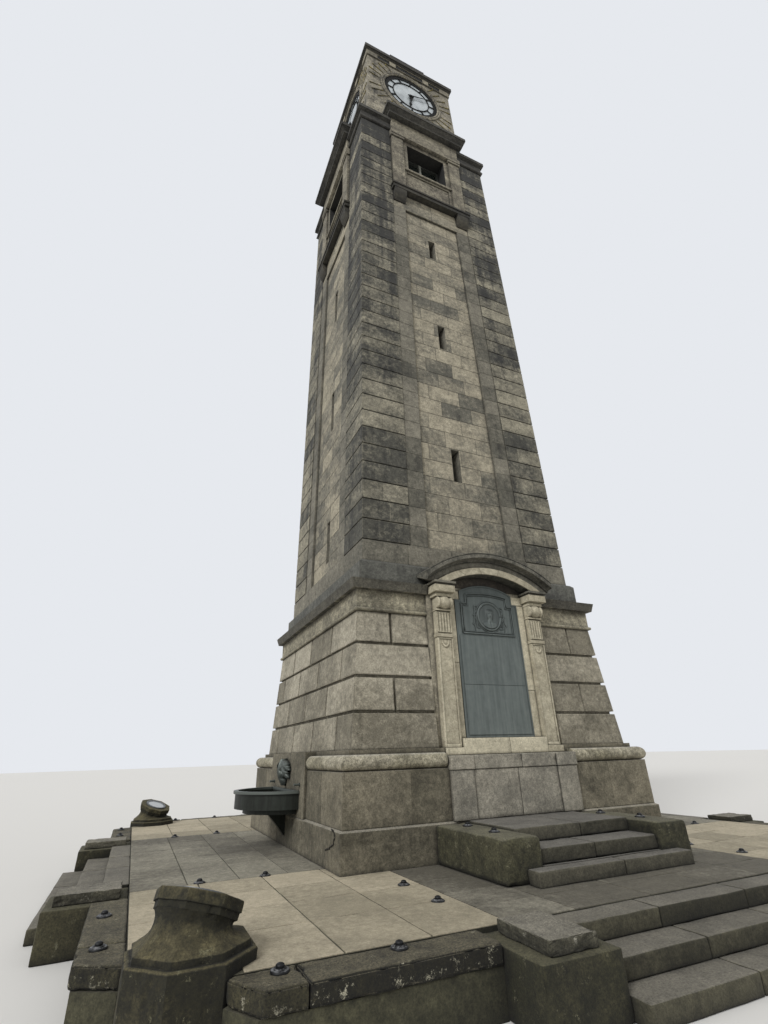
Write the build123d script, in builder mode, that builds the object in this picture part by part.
"""Memorial clock tower of limestone on a stepped terrace.

Units are millimetres. The origin is on the ground, under the centre of the tower.
+Z is up and the front, with the memorial panel and its steps, looks along -Y.
"""
from math import cos, radians, sin, sqrt, tan
import os

from build123d import *

os.makedirs("parts", exist_ok=True)

# The four sides, as turns about the tower's axis of a piece drawn on the front.
SIDES = {"front": 0, "right": 90, "back": 180, "left": 270}

# Terrace, set out from the tower's lower plinth
lower_plinth_half = 2770
riser = 152.7
terrace_risers = 3
terrace_half_x = lower_plinth_half + 2620
terrace_half_y = lower_plinth_half + 2740
coping_width = 360
coping_height = 140
coping_overhang = 25
coping_splay = 185
flight_half = 1690
terrace_tread = 330
flight_reach = 300
pier_width = 750
pier_length = 800
pier_below_floor = 30
pier_cap_width = 460
pier_cap_length = 640
pier_cap_height = 100
pedestal_flats = 881
pedestal_in_x = 770
pedestal_in_y = 740
pedestal_above_floor = 85
pedestal_chamfer = 14
tier_inset = 45
tier_height = 45
waist_neck = 570
waist_height = 145
waist_swell = 12
slab_radius = 340
slab_thickness = 120
slab_lower_radius = 324
slab_lower_thickness = 45
slab_tilt = 20.5
lamp_radius = 215
lamp_height = 18
lens_radius = 180
lens_thickness = 8

# Plinths and the steps up to the memorial
ledge_height = 20
upper_plinth_half = lower_plinth_half - 40
basin_slab_front = lower_plinth_half
upper_plinth_height = 645
torus_radius = 100
torus_fascia = 58
torus_set_out = 60
basin_slab_half = 1110
portal_half = 1170
portal_step_half = 930
portal_risers = 3
portal_landing_front = lower_plinth_half + 1010
portal_upper_tread = 410
portal_lower_tread = 260
low_step_wing = 250
cheek_half = 1450
cheek_front = lower_plinth_half + 1480
cheek_round = 55
cheek_height = 440

# Rusticated base storey
room_half = 1120
base_wall_height = 1980
base_half_foot = lower_plinth_half - 234
base_batter = 145
base_half_top = base_half_foot - base_batter
torus_core_half = base_half_foot + 64
base_courses = 4
channel_height = 46
channel_depth = 50
front_channel = 1830
side_channels_odd = (-1830, -610, 610, 1830)
side_channels_even = (-1220, 0, 1220)
base_cornice_height = 537
frieze_half = base_half_top + 14
frieze_height = 350
frieze_bead = 60
frieze_bead_half = frieze_half + 35
cornice_half_foot = frieze_half + 84
cornice_half = frieze_half + 124
cornice_weathering = 40
blocking_half = frieze_half - 86
blocking_height = 379
blocking_chamfer = 45

# Memorial surround
portal_back = base_half_top - 1
portal_face = base_half_top + 69
pedestal_inner = 770
pedestal_outer = 1140
pedestal_front = lower_plinth_half + 30
pedestal_cap_front = lower_plinth_half - 25
pedestal_bead = 10
pilaster_inner = 800
pilaster_outer = 1080
pilaster_front = portal_face + 220
pilaster_height = 1610
pilaster_margin = 25
pilaster_sinking = 10
necking_height = 60
necking_project = 25
fluted_height = 370
fluted_front = portal_face + 240
flute_count = 5
flute_width = 28
console_height = 220
console_front = portal_face + 330
console_nose = 45
console_belly = 136
abacus_inner = 785
abacus_outer = 1170
abacus_front = portal_face + 350
abacus_fillet = 180
abacus_fillet_inset = 30
hood_centre_drop = 2064
hood_radius = 2630
hood_inner_radius = 2296
hood_half = 1290
hood_bands = ((2416, portal_face + 200), (2495, portal_face + 250), (hood_radius, portal_face + 320))
panel_half = 650
panel_notch = 102
panel_thickness = 40
panel_rise = 135
panel_foot = 130
panel_notch_height = 2160
panel_spring = 2320
panel_frame = 22
panel_frame_depth = 8

# Drinking basins
basin_radius = 860
basin_rim_height = 820
basin_depth = 255
basin_wall = 45
basin_floor = 60
basin_lip = 30
basin_lip_height = 40
basin_base_radius = 690
basin_base_height = 70
bracket_half = 70
bracket_reach = 330
bracket_drop = 360
bracket_belly_reach = 150
bracket_belly_drop = 180
spout_half = 130
spout_top = 1260
spout_foot = 890
spout_reach = 90
spout_neck = 58
spout_shoulder = 1060
spout_bevel = 27
tap_place = 850
tap_height = 905
tap_radius = 16
tap_reach = 95
tap_flange_radius = 27
tap_flange_thickness = 16

# Shaft
shaft_height = 13968
shaft_half_foot = blocking_half - 93
shaft_half_top = shaft_half_foot - 138
quoin_width = 930
quoin_project = 20
quoin_first_course = 407
quoin_course = 399
groove_height = 24
groove_depth = 30
panel_side = 1305
shaft_panel_depth = 60
slit_width = 190
front_slits = ((0.1434, 0.1992), (0.4033, 0.4563), (0.6331, 0.6832))
side_slits = ((0.0503, 0.1183), (0.2937, 0.3754), (0.5529, 0.6331))
slit_offset = {"front": -55, "right": -60, "back": 55, "left": 60}
pane_thickness = 10
pane_set_back = 420

# Belfry window bays, their heights measured down from the head of the shaft
panel_below = 3575
corbel_below = 3355
balcony_below = 2955
apron_below = 2625
opening_foot_below = 1695
opening_head_below = 435
architrave_below = 275
bay_pocket = shaft_half_top - 33
surround_half = 1160
strip_inner = 790
strip_front = shaft_half_top + 102
strip_capital_height = 95
strip_capital_project = 35
opening_half = 635
surround_face = shaft_half_top + 62
sill_height = 70
sill_project = 45
architrave_front = shaft_half_top + 117
architrave_height = 180
apron_half = 700
apron_depth = 30
balcony_height = 180
balcony_half = 1250
balcony_front = shaft_half_top + 202
balcony_ledge = 60
balcony_ledge_project = 25
corbel_inner = 820
corbel_outer = 1180
corbel_front = shaft_half_top + 167
corbel_foot_project = 30
corbel_belly_project = 120
corbel_belly_share = 0.42
corbel_fit = 0.3
flange_fit = 0.5
pocket_fit = 1
window_set_back = 350
window_frame = 60
window_frame_depth = 70
bay_cornice_foot_half = 1270
bay_cornice_foot_front = shaft_half_top + 252
bay_cornice_half = 1380
bay_cornice_front = shaft_half_top + 372
bay_cornice_height = 305
bay_fillet_height = 85
bay_corona_foot = 183
bay_corona_inset = 25

# Cornice at the head of the shaft, clock stage and top
corner_cornice_height = 550
corner_cornice_foot = shaft_half_top + 19
corner_cornice_half = shaft_half_top + 112
corner_bead_project = 45
corner_bead_middle = 40
corner_bead_height = 85
corner_neck_project = 30
corner_neck_height = 130
corner_band_project = 8
corner_fascia_height = 190
corner_fascia_splay = 20
corner_fascia_lift = 35
corner_lip_drop = 25
corner_lip_in = 60
stage_half_foot = shaft_half_top - 388
stage_half_top = stage_half_foot - 59
stage_height = 4703
bay_cornice_back = stage_half_foot + 65
stage_foot_half = stage_half_foot + 62
stage_foot_height = 180
stage_foot_batter = 20
dial_below = 1408
dial_radius = 1030
surround_radius = 1180
dial_rebate = 70
surround_front = stage_half_foot + 12
surround_back = stage_half_foot - 100
surround_bead = 75
surround_edge = 30
surround_quirk = 22
dial_front = stage_half_foot - 32
dial_bar = 25
glass_thickness = 12
chapter_outer = 900
chapter_inner_outer = 715
chapter_inner = 685
spoke_width = 42
spoke_bite = 10
hub_boss_radius = 62
arbor_radius = 14
running_gap = 0.3
hour_tube_radius = 30
hand_thickness = 12
hand_clearance = 8
hour_hand_length = 700
minute_hand_length = 820
minute_tail = 150
hour_boss_radius = 95
hour_stem = 30
hour_stem_foot = 250
hour_neck = 21
hour_spade_foot = 475
hour_spade_flare = 55
hour_spade = 62
minute_boss_radius = 48
minute_stem = 22
minute_neck = 13
minute_arrow = 30
minute_arrow_foot = 655
minute_arrow_flare = 35
minute_tail_half = 30
hour_hand_angle = 185.5
minute_hand_angle = 66
top_cornice_height = 522
top_frieze_height = 270
top_frieze_project = 12
bed_mould_reach = 70
bed_hollow_out = 25
bed_hollow_up = 28
corona_weathering = 20
top_cornice_half = stage_half_top + 119
slot_foot = 122
slot_height = 100
slot_depth = 160
slot_centre_half = 540
slot_side_inner = 790
slot_side_outer = 1260
parapet_half = stage_half_top - 41
parapet_wall = 260
parapet_height = 280
parapet_block_half = 700
parapet_block_rise = 260
parapet_chamfer = 40
roof_thickness = 150
roof_rise = 120
roof_crown_half = 335

# Heights that follow from the sizes above
terrace_height = riser * terrace_risers
lower_plinth_top = terrace_height + riser * portal_risers
upper_plinth_top = lower_plinth_top + upper_plinth_height
wall_foot = upper_plinth_top + 2 * torus_radius + torus_fascia
wall_top = wall_foot + base_wall_height
cornice_top = wall_top + base_cornice_height
shaft_foot = cornice_top + blocking_height
shaft_top = shaft_foot + shaft_height
stage_foot = shaft_top + corner_cornice_height
stage_top = stage_foot + stage_height
tower_top = stage_top + top_cornice_height
panel_top = shaft_top - panel_below
corbel_foot = shaft_top - corbel_below
balcony_foot = shaft_top - balcony_below
balcony_top = balcony_foot + balcony_height
opening_foot = shaft_top - opening_foot_below
opening_head = shaft_top - opening_head_below
architrave_foot = shaft_top - architrave_below
dial_z = stage_top - dial_below


def level(height_above_floor):
    """Height above the ground of a place measured from the terrace floor."""
    return terrace_height + height_above_floor


def base_half(z):
    """Half-width of the battered base storey at height z."""
    return base_half_foot + (base_half_top - base_half_foot) * (z - wall_foot) / base_wall_height


def shaft_half(z):
    """Half-width of the battered shaft at height z."""
    return shaft_half_foot + (shaft_half_top - shaft_half_foot) * (z - shaft_foot) / shaft_height


def slit_z(share):
    """Height of a place given as a share of the shaft's height."""
    return shaft_foot + share * shaft_height


def save(shape, name):
    """Label one node and write it out."""
    shape.label = name
    export_step(shape, f"parts/{name}.step")


def on_sides(shape, names=tuple(SIDES)):
    """Copies of a piece drawn on the front, carried to the named sides."""
    with BuildPart() as copies:
        for name in names:
            add(shape.rotate(Axis.Z, SIDES[name]))
    return copies.part


def battered(half_foot, half_top, foot, top):
    """Square block whose four faces lean in by the same amount."""
    with BuildPart() as block:
        with BuildSketch(Plane.XY.offset(foot)):
            Rectangle(2 * half_foot, 2 * half_foot)
        with BuildSketch(Plane.XY.offset(top)):
            Rectangle(2 * half_top, 2 * half_top)
        loft(ruled=True)
    return block.part


def front_quarter(draw_section, reach):
    """One mitred side of a square ring; draw_section draws its outline as (-half-width, z)."""
    with BuildPart() as side:
        with BuildSketch(Plane.YZ):
            with BuildLine():
                draw_section()
            make_face()
        extrude(amount=reach, both=True)
        with BuildSketch():
            with BuildLine():
                Polyline((0, 0), (-2 * reach, -2 * reach), (2 * reach, -2 * reach), close=True)
            make_face()
        extrude(amount=2 * tower_top, mode=Mode.INTERSECT)
    return side.part


def moulded_ring(draw_section, reach):
    """Square ring of one section, mitred at its four corners."""
    return on_sides(front_quarter(draw_section, reach))


def box_between(low, high, mode=Mode.ADD):
    """Box between two corners, in whatever part is being built."""
    sizes = [b - a for a, b in zip(low, high)]
    with Locations(tuple((a + b) / 2 for a, b in zip(low, high))):
        Box(*sizes, mode=mode)


# Terrace platform: masonry fill and paving, notched for the flights and the corner pedestals
coping_foot = terrace_height - coping_height
wall_x = terrace_half_x - coping_overhang
wall_y = terrace_half_y - coping_overhang
paving_x = terrace_half_x - coping_width
paving_y = terrace_half_y - coping_width
pedestal_x = terrace_half_x - pedestal_in_x
pedestal_y = terrace_half_y - pedestal_in_y
pedestal_places = [(sx * pedestal_x, sy * pedestal_y) for sx in (-1, 1) for sy in (-1, 1)]
pedestal_side = pedestal_flats / 2 * tan(radians(22.5))
stair_bay = flight_half + pier_width


def corner_notch(sx, sy):
    """Plan of what is left out round a corner pedestal, beyond splayed ends of the wall and the coping."""
    beyond = 2 * terrace_half_y
    points = ((pedestal_x - pedestal_side - coping_splay, beyond),
              (pedestal_x - pedestal_side - coping_splay, terrace_half_y),
              (pedestal_x - pedestal_side, pedestal_y + pedestal_flats / 2),
              (pedestal_x, pedestal_y),
              (pedestal_x + pedestal_flats / 2, pedestal_y - pedestal_side),
              (terrace_half_x, pedestal_y - pedestal_side - coping_splay),
              (beyond, pedestal_y - pedestal_side - coping_splay),
              (beyond, beyond))
    return [(sx * x, sy * y) for x, y in points]


with BuildPart() as terrace_platform:
    box_between((-wall_x, -wall_y, 0), (wall_x, wall_y, coping_foot))
    box_between((-paving_x, -paving_y, coping_foot), (paving_x, paving_y, terrace_height))
    for side in (-1, 1):
        with Locations((0, side * (paving_y + wall_y), coping_foot)):
            Box(2 * stair_bay, 2 * wall_y, 2 * terrace_height, mode=Mode.SUBTRACT)
        with Locations((side * (paving_x + wall_x), 0, coping_foot)):
            Box(2 * wall_x, 2 * stair_bay, 2 * terrace_height, mode=Mode.SUBTRACT)
    with BuildSketch():
        with Locations(*pedestal_places):
            RegularPolygon(pedestal_flats / 2, 8, major_radius=False, rotation=22.5)
        for sx, sy in ((-1, -1), (-1, 1), (1, -1), (1, 1)):
            with BuildLine():
                Polyline(*corner_notch(sx, sy), close=True)
            make_face()
    extrude(amount=terrace_height, mode=Mode.SUBTRACT)
save(terrace_platform.part, "terrace_platform")

# Coping: two lengths a side, each from a stair pier to a corner pedestal
with BuildPart() as terrace_coping:
    with BuildSketch(Plane.XY.offset(coping_foot)):
        Rectangle(2 * terrace_half_x, 2 * terrace_half_y)
        Rectangle(2 * paving_x, 2 * paving_y, mode=Mode.SUBTRACT)
        Rectangle(2 * terrace_half_x, 2 * stair_bay, mode=Mode.SUBTRACT)
        Rectangle(2 * stair_bay, 2 * terrace_half_y, mode=Mode.SUBTRACT)
        with Locations(*pedestal_places):
            RegularPolygon(pedestal_flats / 2, 8, major_radius=False, rotation=22.5, mode=Mode.SUBTRACT)
        for sx, sy in ((-1, -1), (-1, 1), (1, -1), (1, 1)):
            with BuildLine():
                Polyline(*corner_notch(sx, sy), close=True)
            make_face(mode=Mode.SUBTRACT)
    extrude(amount=coping_height)
save(terrace_coping.part, "terrace_coping")


def flight(platform_edge):
    """Three stone steps up to the terrace, drawn on the front."""
    with BuildPart() as steps:
        for course in range(terrace_risers):
            reach = flight_reach + terrace_tread * (terrace_risers - 1 - course)
            low = (-flight_half, -platform_edge - reach, course * riser)
            high = (flight_half, -platform_edge, (course + 1) * riser)
            box_between(low, high)
    return steps.part


for side_name, turn in SIDES.items():
    edge = paving_y if side_name in ("front", "back") else paving_x
    save(flight(edge).rotate(Axis.Z, turn), f"{side_name}_flight")

# Stair piers either side of each flight, and the rough cap block on each
pier_top = terrace_height - pier_below_floor
pier_centre = flight_half + pier_width / 2
pier_places = []
for side_name, turn in SIDES.items():
    edge = paving_y if side_name in ("front", "back") else paving_x
    for hand in (-1, 1):
        place = Vector(hand * pier_centre, -edge - pier_length / 2).rotate(Axis.Z, turn)
        pier_places.append(Location((place.X, place.Y, 0), (0, 0, turn)))

with BuildPart() as stair_piers:
    with Locations(*pier_places):
        Box(pier_width, pier_length, pier_top, align=(Align.CENTER, Align.CENTER, Align.MIN))
save(stair_piers.part, "stair_piers")

with BuildPart() as pier_caps:
    with Locations(*[place * Location((0, 0, pier_top)) for place in pier_places]):
        Box(pier_cap_width, pier_cap_length, pier_cap_height, align=(Align.CENTER, Align.CENTER, Align.MIN))
save(pier_caps.part, "pier_caps")

# Octagonal lamp pedestal: block, set-back tier, waisted neck and a slab tilted to the tower
block_top = terrace_height + pedestal_above_floor
tier_top = block_top + tier_height
tier_flats = pedestal_flats - 2 * tier_inset
neck_top = tier_top + waist_height
slab_normal = (sin(radians(slab_tilt)), 0, cos(radians(slab_tilt)))
slab_plane = Plane(origin=(0, 0, neck_top), x_dir=(0, 1, 0), z_dir=slab_normal)

with BuildPart() as pedestal_block:
    with BuildSketch():
        RegularPolygon(pedestal_flats / 2, 8, major_radius=False, rotation=22.5)
    extrude(amount=block_top)
    chamfer(pedestal_block.faces().sort_by(Axis.Z)[-1].edges(), pedestal_chamfer)

with BuildPart() as pedestal:
    for turn in range(0, 180, 45):
        with BuildSketch(Plane.XZ.rotated((0, 0, turn))):
            with BuildLine():
                foot = tier_flats / 2
                neck = waist_neck / 2
                swell = neck + waist_swell
                middle = tier_top + waist_height / 2
                left = ThreePointArc((-foot, tier_top), (-swell, middle), (-neck, neck_top))
                right = ThreePointArc((neck, neck_top), (swell, middle), (foot, tier_top))
                over = neck_top + waist_height
                Polyline(left @ 1, (-neck, over), (neck, over), right @ 0)
                Line(right @ 1, left @ 0)
            make_face()
        extrude(amount=foot, both=True, mode=Mode.ADD if turn == 0 else Mode.INTERSECT)
    split(bisect_by=slab_plane, keep=Keep.BOTTOM)
    add(pedestal_block.part)
    with BuildSketch(Plane.XY.offset(block_top)):
        RegularPolygon(tier_flats / 2, 8, major_radius=False, rotation=22.5)
    extrude(amount=tier_height)
    with BuildSketch(slab_plane):
        RegularPolygon(slab_lower_radius, 8, rotation=22.5)
    extrude(amount=slab_lower_thickness)
    with BuildSketch(slab_plane.offset(slab_lower_thickness)):
        RegularPolygon(slab_radius, 8, rotation=22.5)
    extrude(amount=slab_thickness - slab_lower_thickness)

pedestal_turns = [(45 if py < 0 else -45) if px < 0 else (135 if py < 0 else 225)
                  for px, py in pedestal_places]


def on_corners(shape):
    """Copies of a corner piece, its slab turned to face the tower."""
    with BuildPart() as copies:
        for (px, py), turn in zip(pedestal_places, pedestal_turns):
            add(shape.rotate(Axis.Z, turn).moved(Location((px, py, 0))))
    return copies.part


save(on_corners(pedestal.part), "lamp_pedestals")

# Floodlight let into each slab: a cast rim and its glass
lamp_plane = slab_plane.offset(slab_thickness)
with BuildPart() as lamp_rim:
    with BuildSketch(lamp_plane):
        Circle(lamp_radius)
        Circle(lens_radius, mode=Mode.SUBTRACT)
    extrude(amount=lamp_height)
save(on_corners(lamp_rim.part), "floodlight_rims")

with BuildPart() as lens:
    with BuildSketch(lamp_plane):
        Circle(lens_radius)
    extrude(amount=lens_thickness)
save(on_corners(lens.part), "floodlight_lenses")

# Lower plinth, with a weathered ledge round its top
with BuildPart() as lower_plinth:
    box_between((-lower_plinth_half, -lower_plinth_half, terrace_height),
                (lower_plinth_half, lower_plinth_half, lower_plinth_top - ledge_height))
    add(battered(lower_plinth_half, upper_plinth_half, lower_plinth_top - ledge_height, lower_plinth_top))
save(lower_plinth.part, "lower_plinth")

# Upper plinth, with the blocks that carry the memorial and the drinking basins
with BuildPart() as upper_plinth:
    box_between((-upper_plinth_half, -upper_plinth_half, lower_plinth_top),
                (upper_plinth_half, upper_plinth_half, upper_plinth_top))
    box_between((-torus_core_half, -torus_core_half, upper_plinth_top),
                (torus_core_half, torus_core_half, wall_foot))
    box_between((-basin_slab_front, -basin_slab_half, lower_plinth_top),
                (basin_slab_front, basin_slab_half, wall_foot))
save(upper_plinth.part, "upper_plinth")

# Torus over the upper plinth, stopped against the memorial and the basin slabs
torus_z = upper_plinth_top + torus_radius
torus_centre = torus_core_half + torus_set_out


def torus_section():
    Line((-torus_core_half, upper_plinth_top), (-torus_centre, upper_plinth_top))
    ThreePointArc((-torus_centre, upper_plinth_top), (-torus_centre - torus_radius, torus_z),
                  (-torus_centre, torus_z + torus_radius))
    Line((-torus_centre, torus_z + torus_radius), (-torus_core_half, torus_z + torus_radius))
    Line((-torus_core_half, torus_z + torus_radius), (-torus_core_half, upper_plinth_top))


with BuildPart() as plinth_torus:
    add(moulded_ring(torus_section, 2 * lower_plinth_half))
    with Locations((0, 0, torus_z)):
        Box(2 * portal_half, 4 * torus_centre, 4 * torus_radius, mode=Mode.SUBTRACT)
        Box(4 * torus_centre, 2 * basin_slab_half, 4 * torus_radius, mode=Mode.SUBTRACT)
save(plinth_torus.part, "plinth_torus")

# Steps up to the memorial between low battered cheeks, at the front and the back
portal_fronts = (portal_landing_front + portal_upper_tread + portal_lower_tread,
                 portal_landing_front + portal_upper_tread, portal_landing_front)

with BuildPart() as portal_steps_front:
    for step, step_front in enumerate(portal_fronts):
        foot = terrace_height + step * riser
        box_between((-portal_step_half, -step_front, foot),
                    (portal_step_half, -lower_plinth_half, foot + riser))
    low_half = portal_step_half + low_step_wing
    box_between((-low_half, -portal_fronts[0], terrace_height),
                (low_half, -cheek_front, terrace_height + riser))
save(on_sides(portal_steps_front.part, ("front", "back")), "portal_steps")

with BuildPart() as cheek:
    box_between((portal_step_half, -cheek_front, terrace_height),
                (cheek_half, -lower_plinth_half, terrace_height + cheek_height))
    cheek_top = cheek.faces().sort_by(Axis.Z)[-1].edges()
    fillet(cheek_top.sort_by(Axis.Y)[:1] + cheek_top.sort_by(Axis.X)[-1:], cheek_round)

with BuildPart() as cheek_pair:
    add(cheek.part)
    mirror(cheek.part, about=Plane.YZ)
save(on_sides(cheek_pair.part, ("front", "back")), "step_cheeks")


def course_top(course):
    """Height of the joint over a course of the base storey, the lowest being 1."""
    return wall_foot + base_wall_height * course / base_courses


# Base storey: four battered walls, mitred at the corners and cut with channelled joints
with BuildPart() as channels_front:
    for course in range(1, base_courses):
        face = base_half(course_top(course))
        with Locations((0, -face, course_top(course))):
            Box(3 * face, 2 * channel_depth, channel_height)
    for course in (2, 4):
        middle = (course_top(course) + course_top(course - 1)) / 2
        with Locations(*[(hand * front_channel, -base_half(middle), middle) for hand in (-1, 1)]):
            Box(channel_height, 2 * channel_depth, base_wall_height / base_courses)

with BuildPart() as channels_side:
    for course in range(1, base_courses):
        face = base_half(course_top(course))
        with Locations((0, -face, course_top(course))):
            Box(3 * face, 2 * channel_depth, channel_height)
    for course, places in enumerate((side_channels_odd, side_channels_even) * (base_courses // 2), 1):
        middle = (course_top(course) + course_top(course - 1)) / 2
        with Locations(*[(place, -base_half(middle), middle) for place in places]):
            Box(channel_height, 2 * channel_depth, base_wall_height / base_courses)

for side_name, turn in SIDES.items():
    memorial = side_name in ("front", "back")
    with BuildPart() as base_wall:
        add(battered(base_half_foot, base_half_top, wall_foot, wall_top))
        box_between((-room_half, -room_half, wall_foot), (room_half, room_half, wall_top), Mode.SUBTRACT)
        with BuildSketch():
            with BuildLine():
                Polyline((0, 0), (-2 * base_half_foot, -2 * base_half_foot),
                         (2 * base_half_foot, -2 * base_half_foot), close=True)
            make_face()
        extrude(amount=tower_top, mode=Mode.INTERSECT)
        add((channels_front if memorial else channels_side).part, mode=Mode.SUBTRACT)
        if memorial:
            box_between((-portal_half, -2 * base_half_foot, wall_foot),
                        (portal_half, -portal_face, wall_top), Mode.SUBTRACT)
            box_between((-portal_half, -portal_face, wall_foot), (portal_half, -portal_back, cornice_top))
    save(base_wall.part.rotate(Axis.Z, turn), f"{side_name}_base_wall")


# Frieze and cornice of the base storey, broken at the front and back by the memorial
def base_cornice_section():
    bead_top = wall_top + frieze_bead
    frieze_top = wall_top + frieze_height
    lip = cornice_top - cornice_weathering
    Line((-room_half, wall_top), (-frieze_half, wall_top))
    ThreePointArc((-frieze_half, wall_top), (-frieze_bead_half, wall_top + frieze_bead / 2),
                  (-frieze_half, bead_top))
    Polyline((-frieze_half, bead_top), (-frieze_half, frieze_top), (-cornice_half_foot, frieze_top),
             (-cornice_half, lip), (-blocking_half, cornice_top), (-room_half, cornice_top),
             (-room_half, wall_top))


with BuildPart() as base_cornice:
    add(moulded_ring(base_cornice_section, 2 * cornice_half))
    for hand in (-1, 1):
        with Locations((0, hand * (portal_back + cornice_half), (wall_top + cornice_top) / 2)):
            Box(2 * portal_half, 2 * cornice_half, 2 * base_cornice_height, mode=Mode.SUBTRACT)
save(base_cornice.part, "base_cornice")

with BuildPart() as blocking_course:
    box_between((-blocking_half, -blocking_half, cornice_top), (blocking_half, blocking_half, shaft_foot))
    chamfer(blocking_course.faces().sort_by(Axis.Z)[-1].edges(), blocking_chamfer)
    box_between((-room_half, -room_half, cornice_top), (room_half, room_half, shaft_foot), Mode.SUBTRACT)
save(blocking_course.part, "blocking_course")

# Memorial surround: pedestal, pilaster, fluted block, scroll console and abacus in one stack
pilaster_top = wall_foot + pilaster_height
fluted_foot = pilaster_top + necking_height
console_foot = fluted_foot + fluted_height
console_top = console_foot + console_height
pilaster_middle = (pilaster_inner + pilaster_outer) / 2
pilaster_width = pilaster_outer - pilaster_inner

with BuildPart() as pilaster:
    box_between((pedestal_inner, -pedestal_front, lower_plinth_top),
                (pedestal_outer, -basin_slab_front, upper_plinth_top))
    box_between((pedestal_inner, -pedestal_cap_front, upper_plinth_top),
                (pedestal_outer, -torus_core_half, wall_foot))
    box_between((pedestal_inner, -basin_slab_front - pedestal_bead, upper_plinth_top - pedestal_bead),
                (pedestal_outer, -upper_plinth_half, upper_plinth_top))
    box_between((pilaster_inner, -pilaster_front, wall_foot), (pilaster_outer, -portal_face, pilaster_top))
    box_between((pilaster_inner + pilaster_margin, -pilaster_front, wall_foot + 2 * pilaster_margin),
                (pilaster_outer - pilaster_margin, pilaster_sinking - pilaster_front,
                 pilaster_top - pilaster_margin), Mode.SUBTRACT)
    box_between((pilaster_inner - necking_project, -pilaster_front - necking_project, pilaster_top),
                (pilaster_outer + necking_project, -portal_face, fluted_foot))
    box_between((pilaster_inner, -fluted_front, fluted_foot), (pilaster_outer, -portal_face, console_foot))
    with BuildSketch(Plane.XY.offset(fluted_foot + flute_width)):
        with Locations((pilaster_middle, -fluted_front)):
            with GridLocations(pilaster_width / flute_count, 0, flute_count, 1):
                Circle(flute_width / 2)
    extrude(amount=fluted_height - 2 * flute_width, mode=Mode.SUBTRACT)
    with BuildSketch(Plane.YZ.offset(pilaster_inner)):
        with BuildLine():
            scroll = ThreePointArc((-fluted_front, console_foot),
                                   (-console_front, console_foot + console_belly),
                                   (-console_front + console_nose, console_top))
            Polyline(scroll @ 1, (-portal_face, console_top), (-portal_face, console_foot), scroll @ 0)
        make_face()
    extrude(amount=pilaster_width)
    fascia_foot = console_top + abacus_fillet
    box_between((abacus_inner, -abacus_front + abacus_fillet_inset, console_top),
                (abacus_outer, -portal_face, fascia_foot))
    box_between((abacus_inner, -abacus_front, fascia_foot), (abacus_outer, -portal_face, cornice_top))

with BuildPart() as pilaster_pair:
    add(pilaster.part)
    mirror(pilaster.part, about=Plane.YZ)
save(on_sides(pilaster_pair.part, ("front", "back")), "pilasters")

# Segmental hood over the memorial: a backing stone with stepped mouldings, cut radially at its ends
hood_centre = cornice_top - hood_centre_drop
hood_end_x = 2 * hood_half
hood_end_z = hood_centre + 2 * sqrt(hood_radius ** 2 - hood_half ** 2)

with BuildPart() as hood:
    for inner, outer, back, front in (
            (0, hood_radius, blocking_half, portal_face),
            (hood_inner_radius, hood_bands[0][0], portal_face, hood_bands[0][1]),
            (hood_bands[0][0], hood_bands[1][0], portal_face, hood_bands[1][1]),
            (hood_bands[1][0], hood_bands[2][0], portal_face, hood_bands[2][1])):
        with BuildSketch(Plane.XZ.offset(back)):
            with BuildLine():
                Polyline((0, hood_centre), (-hood_end_x, hood_end_z), (hood_end_x, hood_end_z), close=True)
            make_face()
            with Locations((0, hood_centre)):
                Circle(outer, mode=Mode.INTERSECT)
                if inner:
                    Circle(inner, mode=Mode.SUBTRACT)
            with Locations((0, cornice_top + hood_radius)):
                Rectangle(2 * hood_radius, 2 * hood_radius, mode=Mode.INTERSECT)
        extrude(amount=front - back)
    with BuildSketch(Plane.XZ.offset(shaft_half_foot + pocket_fit)):
        with Locations((0, hood_centre)):
            Circle(hood_radius)
        with Locations((0, shaft_foot + hood_radius)):
            Rectangle(2 * hood_half, 2 * hood_radius, mode=Mode.INTERSECT)
    extrude(amount=portal_face - shaft_half_foot - pocket_fit)
save(on_sides(hood.part, ("front", "back")), "arch_hoods")

# Arched memorial panel with notched shoulders: cast metal at the front, plain stone at the back
panel_low = wall_foot + panel_foot
panel_head_half = panel_half - panel_notch
panel_radius = (panel_head_half ** 2 + panel_rise ** 2) / (2 * panel_rise)


def arched_outline(inset):
    """Straight sides with notched shoulders under a segmental head, drawn in the plane of the panel."""
    half = panel_half - inset
    head_half = panel_head_half - inset
    notch = panel_low + panel_notch_height - inset
    radius = panel_radius - inset
    crown = panel_low + panel_spring + panel_rise - inset
    spring = crown - radius + sqrt(radius ** 2 - head_half ** 2)
    sides = Polyline((head_half, spring), (head_half, notch), (half, notch), (half, panel_low + inset),
                     (-half, panel_low + inset), (-half, notch), (-head_half, notch), (-head_half, spring))
    ThreePointArc(sides @ 1, (0, crown), sides @ 0)


with BuildPart() as memorial_panel:
    with BuildSketch(Plane.XZ.offset(portal_face)):
        with BuildLine():
            arched_outline(0)
        make_face()
    extrude(amount=panel_thickness)
    with BuildSketch(Plane.XZ.offset(portal_face + panel_thickness - panel_frame_depth)):
        with BuildLine():
            arched_outline(panel_frame)
        make_face()
    extrude(amount=panel_frame_depth, mode=Mode.SUBTRACT)
save(memorial_panel.part, "front_plaque")
save(memorial_panel.part.rotate(Axis.Z, 180), "back_panel")

# Half-round drinking basin, cast in one with its bracket, with spout and taps over it
rim_top = level(basin_rim_height)
bowl_foot = rim_top - basin_depth
base_foot = bowl_foot - basin_base_height
basin_back = lower_plinth_half


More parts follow.
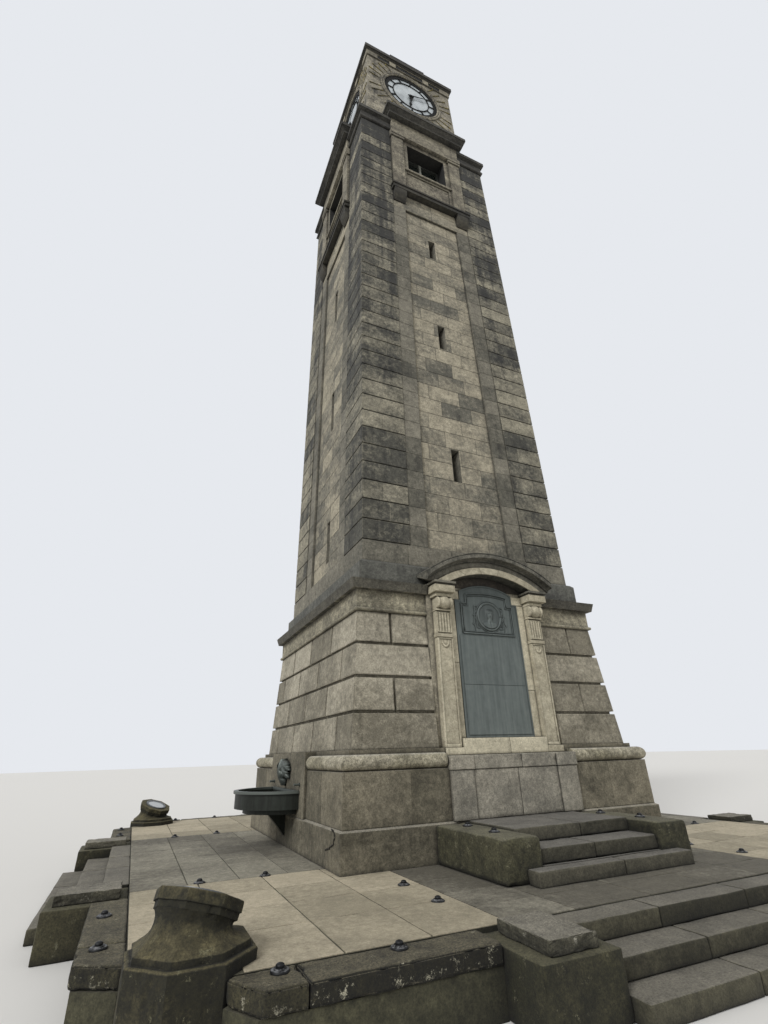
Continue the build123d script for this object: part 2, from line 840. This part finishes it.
def half_disc(radius):
    """Half-round outline standing out from the slab behind the basin."""
    with Locations((0, -basin_back)):
        Circle(radius)
    with Locations((0, -basin_back - radius)):
        Rectangle(2 * radius, 2 * radius, mode=Mode.INTERSECT)


with BuildPart() as basin:
    with BuildSketch(Plane.XY.offset(bowl_foot)):
        half_disc(basin_radius - basin_lip)
    extrude(amount=basin_depth)
    with BuildSketch(Plane.XY.offset(rim_top - basin_lip_height)):
        half_disc(basin_radius)
    extrude(amount=basin_lip_height)
    with BuildSketch(Plane.XY.offset(base_foot)):
        half_disc(basin_base_radius)
    extrude(amount=basin_base_height)
    with BuildSketch(Plane.YZ.offset(-bracket_half)):
        with BuildLine():
            bracket_curve = ThreePointArc((-basin_back, base_foot - bracket_drop),
                                          (-basin_back - bracket_belly_reach, base_foot - bracket_belly_drop),
                                          (-basin_back - bracket_reach, base_foot))
            Polyline(bracket_curve @ 1, (-basin_back, base_foot), bracket_curve @ 0)
        make_face()
    extrude(amount=2 * bracket_half)
    with BuildSketch(Plane.XY.offset(bowl_foot + basin_floor)):
        with Locations((0, -basin_back)):
            Circle(basin_radius - basin_lip - basin_wall)
        with Locations((0, -basin_back - basin_radius - basin_wall)):
            Rectangle(2 * basin_radius, 2 * basin_radius, mode=Mode.INTERSECT)
    extrude(amount=basin_depth, mode=Mode.SUBTRACT)
save(on_sides(basin.part, ("right", "left")), "basins")

with BuildPart() as spout:
    with BuildSketch(Plane.XZ.offset(basin_back)):
        with BuildLine():
            shoulder = level(spout_shoulder)
            Polyline((-spout_neck, level(spout_top)), (-spout_half, shoulder), (0, level(spout_foot)),
                     (spout_half, shoulder), (spout_neck, level(spout_top)), close=True)
        make_face()
    extrude(amount=spout_reach)
    chamfer(spout.faces().sort_by(Axis.Y)[0].edges(), spout_bevel)
save(on_sides(spout.part, ("right", "left")), "basin_spouts")

with BuildPart() as taps:
    with BuildSketch(Plane.XZ.offset(basin_back)):
        with Locations((-tap_place, level(tap_height)), (tap_place, level(tap_height))):
            Circle(tap_flange_radius)
    extrude(amount=tap_flange_thickness)
    with BuildSketch(Plane.XZ.offset(basin_back)):
        with Locations((-tap_place, level(tap_height)), (tap_place, level(tap_height))):
            Circle(tap_radius)
    extrude(amount=tap_reach)
save(on_sides(taps.part, ("right", "left")), "basin_taps")

# Shaft corners: battered square piers, their two outer faces in channelled courses
course_joints = [shaft_foot + quoin_first_course + quoin_course * n
                 for n in range(int((shaft_height - quoin_first_course) / quoin_course) + 1)]


def corner_section(inner, outer, depth_from, depth_to):
    """Rectangle of one pier face in plan, at the corner where +X meets -Y."""
    with Locations(((inner + outer) / 2, -(depth_from + depth_to) / 2)):
        Rectangle(outer - inner, depth_to - depth_from)


with BuildPart() as corner_pier:
    for z, half in ((shaft_foot, shaft_half_foot), (shaft_top, shaft_half_top)):
        with BuildSketch(Plane.XY.offset(z)):
            corner_section(room_half, half, room_half, half)
    loft(ruled=True)

with BuildPart() as strip_cut:
    for z in (shaft_foot + quoin_first_course, shaft_top):
        with BuildSketch(Plane.XY.offset(z)):
            edge = shaft_half(z) - quoin_width
            corner_section(room_half - 1, edge, shaft_half(z) - quoin_project, shaft_half(z) + 1)
    loft(ruled=True)

with BuildPart() as pier_cuts:
    add(strip_cut.part)
    for z in course_joints[:-1]:
        half = shaft_half(z)
        box_between((half - quoin_width, -half - groove_depth, z - groove_height / 2),
                    (half + groove_depth, -half + groove_depth, z + groove_height / 2))

with BuildPart() as quoin_pier:
    add(corner_pier.part)
    add(pier_cuts.part, mode=Mode.SUBTRACT)
    add(pier_cuts.part.mirror(Plane(origin=(0, 0, 0), z_dir=(1, 1, 0))), mode=Mode.SUBTRACT)
save(on_sides(quoin_pier.part), "shaft_quoins")

# Shaft walls between the corner piers: recessed panel, stair slits and the belfry opening
panel_foot_z = shaft_foot + quoin_first_course
slits_of = {"front": front_slits, "right": side_slits, "back": front_slits, "left": side_slits}

with BuildPart() as plain_wall:
    with BuildSketch(Plane.YZ):
        with BuildLine():
            Polyline((-shaft_half(shaft_foot), shaft_foot), (-shaft_half(panel_foot_z), panel_foot_z),
                     (-shaft_half(panel_foot_z) + quoin_project, panel_foot_z),
                     (-shaft_half_top + quoin_project, shaft_top), (-room_half, shaft_top),
                     (-room_half, shaft_foot), close=True)
        make_face()
    extrude(amount=room_half, both=True)
    for z in (panel_foot_z, panel_top):
        with BuildSketch(Plane.XY.offset(z)):
            half = shaft_half(z)
            face = half - quoin_project
            with Locations((0, -face)):
                Rectangle(2 * (half - panel_side), 2 * shaft_panel_depth)
    loft(ruled=True, mode=Mode.SUBTRACT)
    box_between((-room_half, -2 * shaft_half_foot, balcony_foot),
                (room_half, -bay_pocket, shaft_top), Mode.SUBTRACT)
    box_between((-opening_half, -bay_pocket, opening_foot), (opening_half, -room_half, opening_head),
                Mode.SUBTRACT)

for side_name, turn in SIDES.items():
    with BuildPart() as shaft_wall:
        add(plain_wall.part)
        for low, high in slits_of[side_name]:
            left = slit_offset[side_name] - slit_width / 2
            box_between((left, -2 * room_half, slit_z(low)), (left + slit_width, -room_half, slit_z(high)),
                        Mode.SUBTRACT)
    save(shaft_wall.part.rotate(Axis.Z, turn), f"{side_name}_shaft_wall")


def panes_of(side_name):
    """Panes that close the slits of one side, carried to that side."""
    with BuildPart() as panes:
        for low, high in slits_of[side_name]:
            left = slit_offset[side_name] - slit_width / 2
            back = shaft_half(slit_z(low)) - pane_set_back
            box_between((left, -back - pane_thickness, slit_z(low)), (left + slit_width, -back, slit_z(high)))
    return panes.part.rotate(Axis.Z, SIDES[side_name])


with BuildPart() as slit_panes:
    for side_name in SIDES:
        add(panes_of(side_name))
save(slit_panes.part, "slit_panes")

# Belfry bay: balcony on corbels, window surround, glazing and cornice
with BuildPart() as balcony:
    outer_back = shaft_half(balcony_foot) + pocket_fit
    corbel_back = shaft_half(corbel_foot) - quoin_project + corbel_fit
    belly_z = corbel_foot + corbel_belly_share * (balcony_foot - corbel_foot)
    box_between((-room_half, -outer_back, balcony_foot), (room_half, -bay_pocket, balcony_top))
    box_between((-balcony_half + balcony_ledge_project, -balcony_front + balcony_ledge_project, balcony_foot),
                (balcony_half - balcony_ledge_project, -outer_back, balcony_top))
    box_between((-balcony_half, -balcony_front, balcony_top - balcony_ledge),
                (balcony_half, -outer_back, balcony_top))
    for hand in (-1, 1):
        inner, outer = sorted((hand * corbel_inner, hand * corbel_outer))
        with BuildSketch(Plane.YZ.offset(inner)):
            with BuildLine():
                curve = ThreePointArc((-corbel_back - corbel_foot_project, corbel_foot),
                                      (-corbel_back - corbel_belly_project, belly_z),
                                      (-corbel_front, balcony_foot))
                Polyline(curve @ 1, (-corbel_back, balcony_foot), (-corbel_back, corbel_foot), curve @ 0)
            make_face()
        extrude(amount=outer - inner)
save(on_sides(balcony.part), "balconies")

with BuildPart() as window_surround:
    frieze_foot = architrave_foot + architrave_height
    flange_back = shaft_half(balcony_top) - quoin_project + flange_fit
    capital_back = shaft_half(balcony_top) + pocket_fit
    plate_front = surround_face - quoin_project
    box_between((-room_half, -plate_front, balcony_top), (room_half, -bay_pocket, stage_foot))
    for hand in (-1, 1):
        inner, outer = sorted((hand * strip_inner, hand * surround_half))
        box_between((inner, -strip_front, balcony_top), (outer, -flange_back, architrave_foot))
        box_between((inner - strip_capital_project, -strip_front - strip_capital_project,
                     architrave_foot - strip_capital_height),
                    (outer + strip_capital_project, -capital_back, architrave_foot))
    capital_half = surround_half + strip_capital_project
    box_between((-capital_half, -architrave_front - strip_capital_project, architrave_foot),
                (capital_half, -capital_back, frieze_foot))
    box_between((-surround_half, -strip_front, frieze_foot), (surround_half, -flange_back, stage_foot))
    box_between((-surround_half, -flange_back, shaft_top), (surround_half, -bay_pocket, stage_foot))
    box_between((-strip_inner, -plate_front - sill_project, opening_foot - sill_height),
                (strip_inner, -plate_front, opening_foot))
    box_between((-apron_half, -plate_front, shaft_top - apron_below),
                (apron_half, -plate_front + apron_depth, opening_foot - 2 * sill_height), Mode.SUBTRACT)
    box_between((-opening_half, -3 * room_half, opening_foot), (opening_half, -bay_pocket, opening_head),
                Mode.SUBTRACT)
save(on_sides(window_surround.part), "window_surrounds")

window_plane = bay_pocket - window_set_back
with BuildPart() as window_frame_part:
    window_middle = (opening_foot + opening_head) / 2
    window_height = opening_head - opening_foot
    with BuildSketch(Plane.XZ.offset(window_plane)):
        with Locations((0, window_middle)):
            Rectangle(2 * opening_half, window_height)
            Rectangle(2 * (opening_half - window_frame), window_height - 2 * window_frame, mode=Mode.SUBTRACT)
            Rectangle(window_frame, window_height)
    extrude(amount=window_frame_depth)
save(on_sides(window_frame_part.part), "window_frames")

with BuildPart() as window_glass:
    with BuildSketch(Plane.XZ.offset(window_plane - pane_thickness)):
        with Locations((0, window_middle)):
            Rectangle(2 * opening_half, window_height)
    extrude(amount=pane_thickness)
save(on_sides(window_glass.part), "window_glazing")


# Cornice at the head of the shaft, cut out for the four bays
def corner_cornice_section():
    bead = corner_cornice_foot + corner_bead_project
    neck = corner_cornice_foot + corner_neck_project
    band = corner_cornice_foot + corner_band_project
    bead_top = shaft_top + corner_bead_height
    neck_top = shaft_top + corner_neck_height
    fascia_foot = stage_foot - corner_fascia_height
    fascia_edge = fascia_foot + corner_fascia_lift
    Polyline((-room_half, shaft_top), (-corner_cornice_foot, shaft_top))
    ThreePointArc((-corner_cornice_foot, shaft_top), (-bead, shaft_top + corner_bead_middle),
                  (-neck, bead_top))
    Polyline((-neck, bead_top), (-neck, neck_top), (-band, neck_top), (-band, fascia_foot),
             (corner_fascia_splay - corner_cornice_half, fascia_edge), (-corner_cornice_half, fascia_edge),
             (-corner_cornice_half, stage_foot - corner_lip_drop),
             (corner_lip_in - corner_cornice_half, stage_foot), (-room_half, stage_foot),
             (-room_half, shaft_top))


with BuildPart() as corner_cornice:
    add(moulded_ring(corner_cornice_section, 2 * corner_cornice_half))
    for turn in SIDES.values():
        outside = Location((0, -bay_pocket - corner_cornice_half, shaft_top))
        with Locations(Location((0, 0, 0), (0, 0, turn)) * outside):
            Box(2 * surround_half, 2 * corner_cornice_half, 4 * corner_cornice_height, mode=Mode.SUBTRACT)
save(corner_cornice.part, "corner_cornice")

with BuildPart() as bay_cornice:
    fillet_top = stage_foot + bay_fillet_height
    corona_foot = stage_foot + bay_corona_foot
    box_between((-bay_cornice_foot_half, -bay_cornice_foot_front, stage_foot),
                (bay_cornice_foot_half, -bay_cornice_back, fillet_top))
    corona_half = bay_cornice_half - bay_corona_inset
    corona_front = bay_cornice_front - bay_corona_inset
    for z, half, front in ((fillet_top, bay_cornice_foot_half, bay_cornice_foot_front),
                           (corona_foot, corona_half, corona_front)):
        with BuildSketch(Plane.XY.offset(z)):
            with Locations((0, -(front + bay_cornice_back) / 2)):
                Rectangle(2 * half, front - bay_cornice_back)
    loft(ruled=True)
    box_between((-bay_cornice_half, -bay_cornice_front, corona_foot),
                (bay_cornice_half, -bay_cornice_back, stage_foot + bay_cornice_height))
save(on_sides(bay_cornice.part), "bay_cornices")

# Clock stage: battered walls pierced for the four dials, on a low plinth course
rebate_back = dial_front - dial_bar - glass_thickness


def dial_disc(inner, outer, front, back):
    """Ring or disc about the dial's centre, drawn on the front."""
    with BuildPart() as disc:
        with BuildSketch(Plane.XZ.offset(back)):
            with Locations((0, dial_z)):
                Circle(outer)
                if inner:
                    Circle(inner, mode=Mode.SUBTRACT)
        extrude(amount=front - back)
    return disc.part


with BuildPart() as clock_stage:
    add(battered(stage_half_foot, stage_half_top, stage_foot, stage_top))
    box_between((-room_half, -room_half, stage_foot), (room_half, room_half, stage_top), Mode.SUBTRACT)
    for turn in SIDES.values():
        pierced = dial_disc(0, surround_radius, 2 * stage_half_foot, surround_back)
        add(pierced.rotate(Axis.Z, turn), mode=Mode.SUBTRACT)
        add(dial_disc(0, dial_radius, surround_back, rebate_back).rotate(Axis.Z, turn), mode=Mode.SUBTRACT)
        bore = dial_disc(0, dial_radius - dial_rebate, 2 * stage_half_foot, 0)
        add(bore.rotate(Axis.Z, turn), mode=Mode.SUBTRACT)
save(clock_stage.part, "clock_stage_walls")

with BuildPart() as stage_plinth:
    stage_foot_top = stage_foot + stage_foot_height
    add(battered(stage_foot_half, stage_foot_half - stage_foot_batter, stage_foot, stage_foot_top))
    add(battered(stage_half_foot, stage_half_top, stage_foot, stage_top), mode=Mode.SUBTRACT)
save(stage_plinth.part, "clock_stage_plinth")

# Dials: moulded stone surround, cast skeleton with chapter ring, and opal glass behind it
with BuildPart() as dial_surround:
    with BuildSketch(Plane.YZ):
        with BuildLine():
            inner_z, outer_z = dial_z + dial_radius, dial_z + surround_radius
            edge_y = -surround_front + surround_edge
            quirk = (-surround_front + surround_quirk, inner_z + surround_bead)
            ThreePointArc((edge_y, inner_z), (-surround_front, inner_z + surround_bead / 2), quirk)
            ThreePointArc(quirk, (-surround_front, (inner_z + surround_bead + outer_z) / 2),
                          (edge_y, outer_z))
            Polyline((edge_y, outer_z), (-surround_back, outer_z), (-surround_back, inner_z),
                     (edge_y, inner_z))
        make_face()
    revolve(axis=Axis((0, 0, dial_z), (0, 1, 0)))
save(on_sides(dial_surround.part), "dial_surrounds")

bar_back = dial_front - dial_bar
hour_bore = arbor_radius + running_gap
boss_bore = hour_tube_radius + running_gap
with BuildPart() as dial_frame:
    with BuildSketch(Plane.XZ.offset(bar_back)):
        with Locations((0, dial_z)):
            Circle(dial_radius)
            Circle(chapter_outer, mode=Mode.SUBTRACT)
            Circle(chapter_inner_outer)
            Circle(chapter_inner, mode=Mode.SUBTRACT)
            with PolarLocations((chapter_outer + chapter_inner_outer) / 2, 12):
                Rectangle(chapter_outer - chapter_inner_outer + 2 * spoke_bite, spoke_width)
    extrude(amount=dial_bar)
    add(dial_disc(boss_bore, hub_boss_radius, dial_front, bar_back))
save(on_sides(dial_frame.part), "dial_frames")
save(on_sides(dial_disc(boss_bore, dial_radius, bar_back, rebate_back)), "dial_glasses")

# Hands, drawn pointing to twelve: the hour hand turns on a tube, the minute hand on an arbor in it
hour_back = dial_front + hand_clearance
hour_front = hour_back + hand_thickness
minute_back = hour_front + hand_clearance
minute_front = minute_back + hand_thickness
arbor_tail = rebate_back - hand_clearance

with BuildPart() as hour_hand:
    with BuildSketch(Plane.XZ.offset(hour_back)):
        with Locations((0, dial_z)):
            Circle(hour_boss_radius)
        with BuildLine():
            right_edge = Polyline((hour_boss_radius, dial_z), (hour_stem, dial_z + hour_stem_foot),
                                  (hour_neck, dial_z + hour_spade_foot),
                                  (hour_spade, dial_z + hour_spade_foot + hour_spade_flare),
                                  (0, dial_z + hour_hand_length))
            mirror(right_edge, about=Plane.YZ)
            Line((-hour_boss_radius, dial_z), right_edge @ 0)
        make_face()
        with Locations((0, dial_z)):
            Circle(hour_bore, mode=Mode.SUBTRACT)
    extrude(amount=hand_thickness)
    add(dial_disc(hour_bore, hour_tube_radius, hour_back, arbor_tail))

with BuildPart() as minute_hand:
    with BuildSketch(Plane.XZ.offset(minute_back)):
        with Locations((0, dial_z)):
            Circle(minute_boss_radius)
        with BuildLine():
            right_edge = Polyline((minute_tail_half, dial_z - minute_tail), (minute_stem, dial_z),
                                  (minute_neck, dial_z + minute_arrow_foot),
                                  (minute_arrow, dial_z + minute_arrow_foot + minute_arrow_flare),
                                  (0, dial_z + minute_hand_length))
            mirror(right_edge, about=Plane.YZ)
            Line((-minute_tail_half, dial_z - minute_tail), right_edge @ 0)
        make_face()
    extrude(amount=hand_thickness)
    add(dial_disc(0, arbor_radius, minute_back, arbor_tail - hand_clearance))

dial_axis = Axis((0, 0, dial_z), (0, 1, 0))
for side_name, turn in SIDES.items():
    for hand_name, hand, angle in (("hour_hand", hour_hand, hour_hand_angle),
                                   ("minute_hand", minute_hand, minute_hand_angle)):
        save(hand.part.rotate(dial_axis, angle).rotate(Axis.Z, turn), f"{side_name}_{hand_name}")


# Top cornice with its slotted frieze
def top_cornice_section():
    frieze_top = stage_top + top_frieze_height
    face = stage_half_top + top_frieze_project
    corona_foot = frieze_top + bed_mould_reach
    hollow = ThreePointArc((-face, frieze_top), (-face - bed_hollow_out, frieze_top + bed_hollow_up),
                           (-face - bed_mould_reach, corona_foot))
    Polyline(hollow @ 1, (-top_cornice_half, corona_foot), (-top_cornice_half, tower_top - corona_weathering),
             (-parapet_half, tower_top), (-room_half, tower_top), (-room_half, stage_top), (-face, stage_top),
             hollow @ 0)


with BuildPart() as top_cornice:
    add(moulded_ring(top_cornice_section, 2 * top_cornice_half))
    for turn in SIDES.values():
        for inner, outer in ((-slot_centre_half, slot_centre_half), (slot_side_inner, slot_side_outer),
                             (-slot_side_outer, -slot_side_inner)):
            slot = Location((0, 0, 0), (0, 0, turn)) * Location(((inner + outer) / 2, -stage_half_top,
                                                                stage_top + slot_foot + slot_height / 2))
            with Locations(slot):
                Box(outer - inner, 2 * slot_depth, slot_height, mode=Mode.SUBTRACT)
save(top_cornice.part, "top_cornice")

with BuildPart() as parapet:
    box_between((-parapet_half, -parapet_half, tower_top),
                (parapet_half, parapet_half, tower_top + parapet_height))
    chamfer(parapet.faces().sort_by(Axis.Z)[-1].edges(), parapet_chamfer)
    for turn in SIDES.values():
        block_height = parapet_height + parapet_block_rise
        raised = Location((0, -parapet_half + parapet_wall / 2, tower_top + block_height / 2))
        with Locations(Location((0, 0, 0), (0, 0, turn)) * raised):
            Box(2 * parapet_block_half, parapet_wall, block_height)
    roof_half = parapet_half - parapet_wall
    box_between((-roof_half, -roof_half, tower_top),
                (roof_half, roof_half, tower_top + parapet_height + parapet_block_rise), Mode.SUBTRACT)
save(parapet.part, "parapet")

with BuildPart() as roof_slab:
    box_between((-roof_half, -roof_half, tower_top), (roof_half, roof_half, tower_top + roof_thickness))
    slab_top = tower_top + roof_thickness
    add(battered(roof_half, roof_crown_half, slab_top, slab_top + roof_rise))
save(roof_slab.part, "roof_slab")
